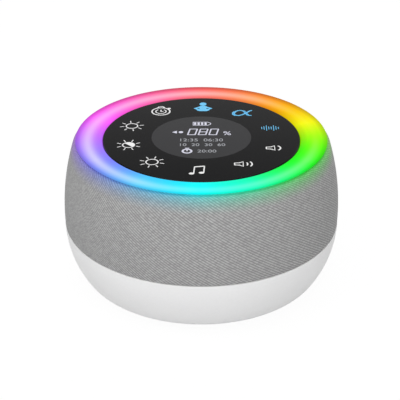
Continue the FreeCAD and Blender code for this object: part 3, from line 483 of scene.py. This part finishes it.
def lamp_colours(tree):
    """The lamps' hue at a point by its angle round the machine, and how deep it is."""
    place = place_of(tree)
    turn = calc(tree, "DIVIDE", calc(tree, "ARCTAN2", place["X"], place["Y"]), 2 * math.pi)
    share = calc(tree, "FRACT", turn)
    hue = ramp(tree, share, [(angle / 360, colour + (1,)) for angle, colour in lamp_hues])
    depth = ramp(tree, share, [(angle / 360, grey(value)) for angle, value in lamp_depths])
    return hue, depth


def as_light(tree, colour):
    """A colour as it shows on a screen, turned into the light that shows so."""
    return node(tree, "Gamma", {"Color": colour, "Gamma": screen_gamma}).outputs[0]


def twill_weave(tree, cloth, warp_pitch, weft_pitch):
    """Ribs of yarn floats, some paler than others, with painted shade between the yarns: the
    colour, the ribs and the yarns.
    """
    rib_yarns = 4
    float_yarns = 2
    rib_start = 0.25
    dark_yarn = grey(0.1)
    pale_yarn = grey(0.56)
    shade_between_yarns = grey(0.12)
    slub_yarn = grey(0.5)
    slub_share = 0.16
    across = calc(tree, "DIVIDE", cloth["X"], warp_pitch)
    up = calc(tree, "DIVIDE", cloth["Y"], weft_pitch)
    over = calc(tree, "ADD", across, up)
    along = calc(tree, "SUBTRACT", across, up)
    rib = wave(tree, calc(tree, "MULTIPLY", over, 2 * math.pi / rib_yarns))
    warp = calc(tree, "SINE", calc(tree, "MULTIPLY", calc(tree, "FRACT", across), math.pi))
    weft = calc(tree, "SINE", calc(tree, "MULTIPLY", calc(tree, "FRACT", up), math.pi))
    yarn = mix_numbers(tree, calc(tree, "GREATER_THAN", rib, 0.5), weft, warp)
    which_rib = calc(tree, "FLOOR", calc(tree, "MULTIPLY_ADD", over, 1 / rib_yarns, rib_start))
    which_float = calc(tree, "FLOOR", calc(tree, "DIVIDE", along, float_yarns))
    paleness = between(tree, chance_at(tree, which_rib, which_float), 0.62, 1)
    level = calc(tree, "MULTIPLY", paleness, between(tree, rib, 0.4, 1))
    floats = mix_colours(tree, level, dark_yarn, pale_yarn)
    # Painted shade: each yarn darkens towards its edges, where the yarns meet.
    shaded = mix_colours(tree, between(tree, yarn, 0.6, 1), shade_between_yarns, floats)
    slubs = calc(tree, "MULTIPLY", grain(260, detail=4)(tree), slub_share)
    return mix_colours(tree, slubs, shaded, slub_yarn), rib, yarn


def sewn(tree, cloth, colour, round_length):
    """The cloth's ends sewn together at the rear, the seam painted dark as shade: the colour, and
    where the seam is.
    """
    seam_half_width = 0.00022
    stitch_offset = 0.0018
    stitch_half_width = 0.0002
    stitch_pitch = 0.0024
    stitch_share = 0.65
    off_seam = calc(tree, "SUBTRACT", round_length / 2, calc(tree, "ABSOLUTE", cloth["X"]))
    seam = calc(tree, "LESS_THAN", off_seam, seam_half_width)
    off_stitch = calc(tree, "ABSOLUTE", calc(tree, "SUBTRACT", off_seam, stitch_offset))
    beside = calc(tree, "LESS_THAN", off_stitch, stitch_half_width)
    step = calc(tree, "FRACT", calc(tree, "DIVIDE", cloth["Y"], stitch_pitch))
    stitch = calc(tree, "MULTIPLY", beside, calc(tree, "LESS_THAN", step, stitch_share))
    # Painted shade: the seam line is painted nearly black.
    seam_shaded = mix_colours(tree, seam, colour, grey(0.08))
    return mix_colours(tree, stitch, seam_shaded, grey(0.6)), seam


def twill(name, warp_pitch, weft_pitch, round_length, rim_z):
    """Grey twill on a map in metres, sewn at the rear, with the ring's light and shade painted
    near its rim.
    """
    glow_reach = 0.0062
    glow_falloff = 1.6
    painted_glow_and_shade_share = 0.6
    yarn_rise = 0.5
    seam_drop = 3
    made, tree, shader = new_material(name)
    cloth = node(tree, "SeparateXYZ", {0: node(tree, "UVMap", uv_map="cloth").outputs[0]}).outputs
    woven, rib, yarn = twill_weave(tree, cloth, warp_pitch, weft_pitch)
    strip, seam = sewn(tree, cloth, woven, round_length)
    # Near the upper rim the ring's coloured light and the shade under its lip are painted in: the
    # base colour is tinted and darkened there, and the cloth itself glows faintly.
    rise = calc(tree, "SUBTRACT", place_of(tree)["Z"], rim_z - glow_reach)
    near = calc(tree, "DIVIDE", rise, glow_reach, clamp=True)
    glow = calc(tree, "POWER", near, glow_falloff)
    hue, depth = lamp_colours(tree)
    lamp_light = as_light(tree, mix_colours(tree, depth, grey(1), hue))
    painted_glow_and_shade = mix_colours(tree, calc(tree, "MULTIPLY", glow, painted_glow_and_shade_share), grey(1), lamp_light)
    threads = calc(tree, "MULTIPLY_ADD", yarn, yarn_rise, rib)
    height = calc(tree, "SUBTRACT", threads, calc(tree, "MULTIPLY", seam, seam_drop))
    feed(tree, shader, {
        "Base Color": mix_colours(tree, 1.0, strip, painted_glow_and_shade, blend="MULTIPLY"),
        "Emission Color": mix_colours(tree, glow, grey(0), lamp_light),
        "Emission Strength": 0.16,
        "Roughness": 0.9,
        "Sheen Weight": 0.1,
        "Specular IOR Level": 0.2,
        "Normal": relief(tree, height, 80 * micron, strength=0.5)})
    return made


cloth_low, cloth_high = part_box("fabric_sleeve")
side_centre = (cloth_high.x - side_curve, cloth_low.z + widest_rise)
fold_z = cloth_high.z - fold_curve
fold_lean = math.asin((fold_z - side_centre[1]) / (side_curve - fold_curve))
fold_centre = (side_centre[0] + (side_curve - fold_curve) * math.cos(fold_lean), fold_z)
hem_z = cloth_low.z + hem_curve
hem_lean = math.asin((side_centre[1] - hem_z) / (side_curve - hem_curve))
hem_centre = (side_centre[0] + (side_curve - hem_curve) * math.cos(hem_lean), hem_z)
cloth_outline = ([(hem_edge_radius, cloth_low.z)]
                 + arc(hem_centre, hem_curve, -math.pi / 2, -hem_lean, steps=4)
                 + arc(side_centre, side_curve, -hem_lean, fold_lean, steps=30)[1:]
                 + arc(fold_centre, fold_curve, fold_lean, math.pi / 2, steps=8)[1:]
                 + [(tuck_radius, cloth_high.z)])
sleeve = turned("fabric_sleeve_woven", cloth_outline)
cloth_map(sleeve, cloth_outline, cloth_high.x)
second_face = sleeve.modifiers.new("second_face", "SOLIDIFY")
second_face.thickness = cloth_thickness
second_face.offset = -1
bpy.ops.object.modifier_apply(modifier="second_face")
bpy.ops.object.shade_smooth_by_angle(angle=smooth_below)
round_length = 2 * math.pi * cloth_high.x
sleeve.data.materials.append(twill("grey_twill", round_length / threads_round, weft_pitch,
                                   round_length, cloth_high.z))
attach(sleeve, "housing")
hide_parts("fabric_sleeve")


# The top frame is a white tray screwed under the rim, with a trough in which a ring of coloured
# lamps shines up from a board with white solder mask. Each lamp is a lens in a white package.
dress(finish("frame_plastic", dark=(0.74, 0.74, 0.74), light=(0.84, 0.84, 0.84),
             roughness=0.5, pattern=grain(900), depth=20 * micron), "top_frame")
dress(finish("white_solder_mask", dark=(0.6, 0.6, 0.58), light=(0.8, 0.8, 0.78),
             roughness=0.4, pattern=tracks(0.0007, field=0.004), depth=20 * micron), "led_board")
dress(finish("lamp_lens", dark=(0.82, 0.8, 0.62), light=(0.95, 0.94, 0.85),
             roughness=0.2, pattern=cells(500)), "led_chips")
dress(screw_plating, "frame_screws")


# The light ring is a milky diffuser with a low, rounded crown, and skirts that stand in the frame.
# It glows in the lamps' colours, paler along a band near its middle. Both edges are dimmer, partly
# from the lamps' falloff and partly as painted shade, most at the outer rim at the back.
glass_gap = 0.00015
ring_overhang = 0.00025
inner_round = 0.0009
outer_round = 0.0004
inner_drop = 0.00055
outer_drop = 0.00004
crown_rise = 0.0002
crown_steps = 16
frame_inset = 0.0029
skirt_width = 0.0012
lip_width = 0.0012
lip_gap = 0.0003
seat_gap = 0.0002
crown_depth = 0.002


def far_from(tree, x=0.0, y=0.0):
    """How far a point lies from an upright axis, in metres."""
    place = place_of(tree)
    off = node(tree, "CombineXYZ", {0: calc(tree, "SUBTRACT", place["X"], x),
                                    1: calc(tree, "SUBTRACT", place["Y"], y)}).outputs[0]
    return node(tree, "VectorMath", {0: off}, operation="LENGTH").outputs["Value"]


def glowing_diffuser(name, middle):
    """Milky plastic lit from below in the lamps' colours, round a middle radius, with painted
    shade at its edges.
    """
    band_width = 0.0026
    band_paleness = 0.28
    outer_start = middle + 0.0025
    outer_fall = 75
    inner_start = middle - 0.0037
    inner_fall = 40
    unlit_darkness = 0.9
    made, tree, shader = new_material(name)
    off_middle = calc(tree, "SUBTRACT", far_from(tree, y=-0.002), middle)
    off_band = calc(tree, "DIVIDE", off_middle, band_width)
    band = calc(tree, "EXPONENT", calc(tree, "MULTIPLY", calc(tree, "POWER", off_band, 2), -1))
    # Painted shade: the dimming at both edges stands partly for the lamps' falloff and partly for
    # shade at the rims, its axes offset so that the outer rim at the back is darker.
    outside = calc(tree, "SUBTRACT", far_from(tree, y=-0.0015), outer_start)
    inside = calc(tree, "SUBTRACT", inner_start, far_from(tree, x=0.001))
    outer_falloff_and_shade = calc(tree, "MULTIPLY", calc(tree, "MAXIMUM", outside, 0), outer_fall)
    edge_falloff_and_shade = calc(tree, "MULTIPLY_ADD", calc(tree, "MAXIMUM", inside, 0), inner_fall, outer_falloff_and_shade,
               clamp=True)
    hue, depth = lamp_colours(tree)
    colour_share = calc(tree, "MULTIPLY_ADD", band, -band_paleness, depth, clamp=True)
    lamp_colour = mix_colours(tree, colour_share, grey(1), hue)
    lamp_light = as_light(tree, mix_colours(tree, edge_falloff_and_shade, lamp_colour, grey(0)))
    feed(tree, shader, {
        # The base colour holds a tenth of the lamps' coloured light: a painted glow in the
        # plastic's own colour.
        "Base Color": mix_colours(tree, unlit_darkness, lamp_light, grey(0)),
        "Emission Color": lamp_light,
        "Emission Strength": 0.95,
        "Roughness": 0.5,
        "Specular IOR Level": 0.03,
        "Normal": relief(tree, grain(700)(tree), 10 * micron)})
    return made


ring_low, ring_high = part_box("light_ring")
panel_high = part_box("touch_panel")[1]
ring_inner = panel_high.x + glass_gap
ring_outer = ring_high.x + ring_overhang
inner_top = (ring_inner + inner_round, ring_high.z - inner_drop)
outer_top = (ring_outer - outer_round, ring_high.z - outer_drop)
crown_width = outer_top[0] - inner_top[0]
crown_cant = outer_top[1] - inner_top[1]
crown = []
for i in range(1, crown_steps):
    share = i / crown_steps
    crown.append((inner_top[0] + crown_width * share,
                  inner_top[1] + crown_cant * share + 4 * crown_rise * share * (1 - share)))
frame_outer = ring_high.x - frame_inset
trough_outer = frame_outer - skirt_width
trough_inner = ring_inner + skirt_width
under_z = ring_high.z - crown_depth
inner_edge = (inner_top[0], inner_top[1] - inner_round)
outer_edge = (outer_top[0], outer_top[1] - outer_round)
ring_outline = ([(ring_inner, ring_low.z)]
                + arc(inner_edge, inner_round, math.pi, math.pi / 2, steps=6)
                + crown
                + arc(outer_edge, outer_round, math.pi / 2, 0, steps=6)
                + [(ring_outer - lip_width, cloth_high.z + lip_gap),
                   (frame_outer, cloth_high.z + seat_gap), (frame_outer, ring_low.z),
                   (trough_outer, ring_low.z), (trough_outer, under_z),
                   (trough_inner, under_z), (trough_inner, ring_low.z)])
ring = turned("light_ring_milky", ring_outline, closed=True)
bpy.ops.object.shade_smooth_by_angle(angle=smooth_below)
ring.data.materials.append(glowing_diffuser("lit_milky_plastic", inner_top[0] + crown_width / 2))
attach(ring, "housing")
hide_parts("light_ring")


# The control board hangs from the frame with the round display on it. A flat ribbon runs from its
# plug down to the main board, and a film with the touch electrodes lies round the display.
dress(screw_plating, "control_board_screws")
dress(finish("display_cover", dark=(0.02, 0.02, 0.024), light=(0.07, 0.07, 0.08),
             roughness=0.15, pattern=grain(200, detail=2)), "display_module")
dress(finish("ribbon_film", dark=(0.3, 0.2, 0.06), light=(0.62, 0.5, 0.25),
             roughness=0.35, pattern=waves(0.001, "X"), depth=40 * micron), "ribbon_cable")
dress(finish("electrode_film", dark=(0.35, 0.28, 0.14), light=(0.66, 0.58, 0.36),
             roughness=0.3, pattern=tracks(0.0012, field=0.008), depth=20 * micron), "touch_film")
dress(finish("foam_tape", dark=(0.02, 0.02, 0.02), light=(0.05, 0.05, 0.05),
             roughness=0.9, pattern=cells(1800), depth=100 * micron), "panel_tape")


# The panel is a disc of black glass with a ground edge, taped down inside the ring. The display
# shows through it as a slightly paler round window.
glass_black = (0.006, 0.006, 0.0065, 1)
window_black = (0.038, 0.038, 0.04, 1)
window_radius = 0.0197
window_edge = 0.0003
gloss_ior = 1.2

glass, tree, shader = new_material("black_touch_glass")
inwards = calc(tree, "SUBTRACT", window_radius, far_from(tree))
window = calc(tree, "DIVIDE", inwards, window_edge, clamp=True)
feed(tree, shader, {
    "Base Color": mix_colours(tree, window, glass_black, window_black),
    "Roughness": between(tree, grain(90)(tree), 0.1, 0.15),
    "IOR": gloss_ior})
dress(glass, "touch_panel")


# The symbols of the ten touch keys are printed on the glass in white and pale blue ink, evenly
# spaced on a circle, and all stand upright as seen from the front.
mm = 0.001
ink_thickness = 0.00004


def ink_shape(curve, runs, closed):
    """Adds runs of points, in millimetres, to a curve."""
    for points in runs:
        spline = curve.splines.new("POLY")
        spline.points.add(len(points) - 1)
        for point, (x, y) in zip(spline.points, points):
            point.co = (x * mm, y * mm, 0, 1)
        spline.use_cyclic_u = closed
    shape = bpy.data.objects.new("ink", curve)
    bpy.context.scene.collection.objects.link(shape)
    return shape


def line(points, width, closed=False):
    """One stroke of ink through points in millimetres."""
    curve = bpy.data.curves.new("stroke", "CURVE")
    curve.dimensions = "3D"
    curve.bevel_depth = width * mm / 2
    curve.bevel_resolution = 1
    curve.use_fill_caps = True
    stroke = ink_shape(curve, [points], closed)
    stroke.scale.z = ink_thickness / (width * mm)
    return stroke


def patch(points, *holes):
    """A filled shape of ink, its corners in millimetres, with or without holes."""
    curve = bpy.data.curves.new("patch", "CURVE")
    curve.dimensions = "2D"
    curve.fill_mode = "BOTH"
    curve.extrude = ink_thickness / 2
    return ink_shape(curve, [points] + list(holes), True)


def round_line(x, y, radius, start=0, end=345, flat=1.0):
    """Points of a round stroke, in millimetres and degrees; flat squeezes it upright."""
    points = arc((0, 0), radius, math.radians(start), math.radians(end), steps=23)
    return [(x + a, y + flat * b) for a, b in points]


def printed(name, marks, x, y, ink):
    """Joins the strokes of one symbol and lays it on the glass at a place in millimetres."""
    bpy.ops.object.select_all(action="DESELECT")
    for mark in marks:
        mark.select_set(True)
    bpy.context.view_layer.objects.active = marks[0]
    bpy.ops.object.convert(target="MESH")
    bpy.ops.object.transform_apply(location=True, rotation=True, scale=True)
    if len(marks) > 1:
        bpy.ops.object.join()
    symbol = bpy.context.object
    symbol.name = name
    symbol.location = (x * mm, y * mm, panel_high.z + ink_thickness / 2)
    bpy.ops.object.transform_apply(location=True, rotation=True, scale=True)
    bpy.ops.object.mode_set(mode="EDIT")
    bpy.ops.mesh.select_all(action="SELECT")
    bpy.ops.mesh.remove_doubles(threshold=merge_distance)
    bpy.ops.mesh.dissolve_degenerate(threshold=merge_distance)
    bpy.ops.mesh.normals_make_consistent(inside=False)
    bpy.ops.object.mode_set(mode="OBJECT")
    symbol.data.materials.clear()
    symbol.data.materials.append(ink)
    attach(symbol, "housing")


def printing_ink(name, colour, glow):
    """Opaque ink, a little uneven, lit from behind."""
    thin_share = 0.85
    made, tree, shader = new_material(name)
    thin = tuple(thin_share * part for part in colour) + (1,)
    uneven = mix_colours(tree, grain(1500)(tree), thin, colour + (1,))
    feed(tree, shader, {
        "Base Color": mix_colours(tree, glow, uneven, grey(0)),
        "Emission Color": uneven,
        "Emission Strength": glow,
        "Roughness": 0.5,
        "IOR": gloss_ior})
    return made


def sun(turn, half_filled=False):
    """A sun: a ring and eight rays, turned by some degrees."""
    disc_radius = 2.3
    ray_reach = (3.1, 4.8)
    marks = [line(round_line(0, 0, disc_radius), 0.5, closed=True)]
    for i in range(8):
        angle = math.radians(turn + 45 * i)
        ray_ends = [(r * math.cos(angle), r * math.sin(angle)) for r in ray_reach]
        marks.append(line(ray_ends, 0.42))
    if half_filled:
        marks.append(patch(round_line(0, 0, disc_radius, -45, 135)))
    return marks


def horn(x):
    """A small horn loudspeaker, its mouth at x."""
    return line([(x - 3.2, 0.8), (x - 1.4, 0.95), (x, 1.95),
                 (x, -1.95), (x - 1.4, -0.95), (x - 3.2, -0.8)], 0.65, closed=True)


watch = [line(round_line(0, -0.5, 3.7), 0.6, closed=True),
         line(round_line(0, -0.5, 2.1, 125, 415), 0.5),
         line([(0, -0.6), (0, 1.2)], 0.5),
         line([(0, -0.6), (1.0, -0.6)], 0.5),
         line(round_line(0, 3.2, 1.3, 0, 180), 0.55),
         patch(round_line(3.3, 2.5, 0.65))]

right_side = [(0.9, 1.2), (1.7, 0.2), (3.9, -1.5), (2.9, -2.4), (2.3, -3.7), (1.5, -4.2)]
left_side = [(-x, y) for x, y in reversed(right_side)]
under_arms = [round_line(x, -1.6, 0.5, flat=0.9) for x in (-1.84, 1.84)]
figure = [patch(round_line(0, 3.0, 1.45, flat=1.1)), patch(right_side + left_side, *under_arms)]

loop_size = 0.92
loop_slant = 0.22
loop_run = [(3.9, 2.9), (3.0, 2.2), (1.9, 0.2), (0.5, -1.9), (-0.9, -2.8), (-2.4, -2.6),
            (-3.5, -1.5), (-3.8, 0), (-3.4, 1.5), (-2.3, 2.6), (-0.9, 2.8), (0.3, 2.2),
            (1.4, 0.7), (2.4, -1.3), (3.2, -2.5), (4.8, -2.8)]
loop = [line([(loop_size * (x + loop_slant * y), loop_size * y) for x, y in run], width)
        for run, width in [(loop_run, 0.75), (loop_run[5:9], 1.3), (loop_run[11:15], 1.1)]]

bar_pitch = 0.95
bar_heights = [1.0, 1.6, 2.4, 1.3, 1.3, 2.5, 1.6, 0.9]
first_bar = -bar_pitch * (len(bar_heights) - 1) / 2
bars = [line([(first_bar + bar_pitch * i, -half), (first_bar + bar_pitch * i, half)], 0.3)
        for i, half in enumerate(bar_heights)]

note = [patch(round_line(-2.4, -2.9, 1.0, flat=0.75)),
        patch(round_line(1.3, -2.3, 1.0, flat=0.75)),
        line([(-1.6, -2.8), (-1.3, 2.6)], 0.5),
        line([(2.1, -2.2), (2.4, 3.2)], 0.5),
        line([(-1.4, 2.6), (2.5, 3.2)], 0.8)]

quieter = [horn(0.65), line(round_line(0.6, 0, 2.3, -55, 55), 0.6)]
louder = [horn(-0.3), line(round_line(-0.6, 0, 2.0, -36, 36), 0.55),
          line(round_line(0.1, 0, 2.95, -40, 40), 0.6)]

white_ink = printing_ink("white_key_ink", (0.92, 0.92, 0.92), glow=0.5)
blue_ink = printing_ink("blue_key_ink", (0.17, 0.6, 0.95), glow=0.5)
for name, marks, x, y, ink in [
        ("figure", figure, 0.67, 29.26, blue_ink),
        ("loop", loop, 16.68, 23.1, blue_ink),
        ("sound_wave", bars, 27.4, 8.3, blue_ink),
        ("volume_down", quieter, 27.59, -10.21, white_ink),
        ("volume_up", louder, 15.97, -24.1, white_ink),
        ("music_note", note, -1.25, -29.12, white_ink),
        ("sun_full", sun(29), -18.56, -22.41, white_ink),
        ("sun_half", sun(25, half_filled=True), -28.22, -7.52, white_ink),
        ("sun_low", sun(10), -27.81, 10.23, white_ink),
        ("timer", watch, -16.64, 25.14, white_ink)]:
    printed("key_" + name, marks, x, y, ink)


# The display's figures shine through the glass: a battery, a slanted number with a small horn and
# a per cent sign, two rows of plain numbers, and a clock with its time.
segment_ends = {"a": ((0, 2), (1, 2)), "b": ((1, 2), (1, 1)), "c": ((1, 1), (1, 0)),
                "d": ((0, 0), (1, 0)), "e": ((0, 0), (0, 1)), "f": ((0, 1), (0, 2)),
                "g": ((0, 1), (1, 1))}
zero = "abcdef"
eight = "abcdefg"


def slanted_digit(x, segments):
    """A slanted seven-segment digit. Its letters run clockwise from the top, g in the middle."""
    width = 2.9
    height = 5.4
    slope = 0.17
    overlap = 0.1
    stroke = 0.55
    marks = []
    for segment in segments:
        (left, low), (right, high) = [((across - 0.5) * width, (up - 1) * height / 2)
                                      for across, up in segment_ends[segment]]
        step_x = math.copysign(overlap, right - left) if right != left else 0
        step_y = math.copysign(overlap, high - low) if high != low else 0
        ends = [(left - step_x, low - step_y), (right + step_x, high + step_y)]
        marks.append(line([(x + across + slope * up, up) for across, up in ends], stroke))
    return marks


def numbers(text, height):
    """Plain upright numbers, their height in millimetres."""
    size_for_height = 1.4
    data = bpy.data.curves.new("numbers", "FONT")
    data.body = text
    data.size = height * mm * size_for_height
    data.align_x = "CENTER"
    data.align_y = "CENTER"
    data.extrude = ink_thickness / 2
    shown = bpy.data.objects.new("numbers", data)
    bpy.context.scene.collection.objects.link(shown)
    return [shown]


battery_case = [(-3.6, 1.6), (2.2, 1.6), (3.4, 0.5), (3.4, -0.5), (2.2, -1.6), (-3.6, -1.6)]
battery = [line(battery_case, 0.4, closed=True)]
battery += [line([(x, -1.2), (x, 1.2)], 0.9) for x in (-2.8, -1.4, 0, 1.4)]
volume = slanted_digit(-4.2, zero) + slanted_digit(0, eight) + slanted_digit(4.2, zero)
small_horn = [patch([(-2.2, 0), (-0.3, 1.2), (-0.3, -1.2)]), patch(round_line(1.3, 0, 0.9))]

bright_figures = printing_ink("display_bright", (0.74, 0.74, 0.86), glow=0.75)
dim_figures = printing_ink("display_dim", (0.4, 0.41, 0.44), glow=0.75)
for name, marks, x, y, ink in [
        ("battery", battery, 0.3, 12.4, bright_figures),
        ("number", volume, 0.7, 4.6, bright_figures),
        ("horn", small_horn, -9.4, 4.3, bright_figures),
        ("percent", numbers("%", 3.4), 10.2, 3.1, bright_figures),
        ("row_one", numbers("12:35  06:30", 2.5), -0.2, -3.1, dim_figures),
        ("row_two", numbers("10  20  30  60", 2.3), 0.2, -7.4, dim_figures),
        ("clock", [line(round_line(0, 0, 1.7), 0.8, closed=True), line([(0, 0), (0, 1.2)], 0.5),
                   line([(-0.8, 2.6), (0.8, 2.6)], 0.6)], -5.5, -13.0, bright_figures),
        ("minutes", numbers("20:00", 2.4), 2.1, -13.1, dim_figures)]:
    printed("display_" + name, marks, x, y, ink)
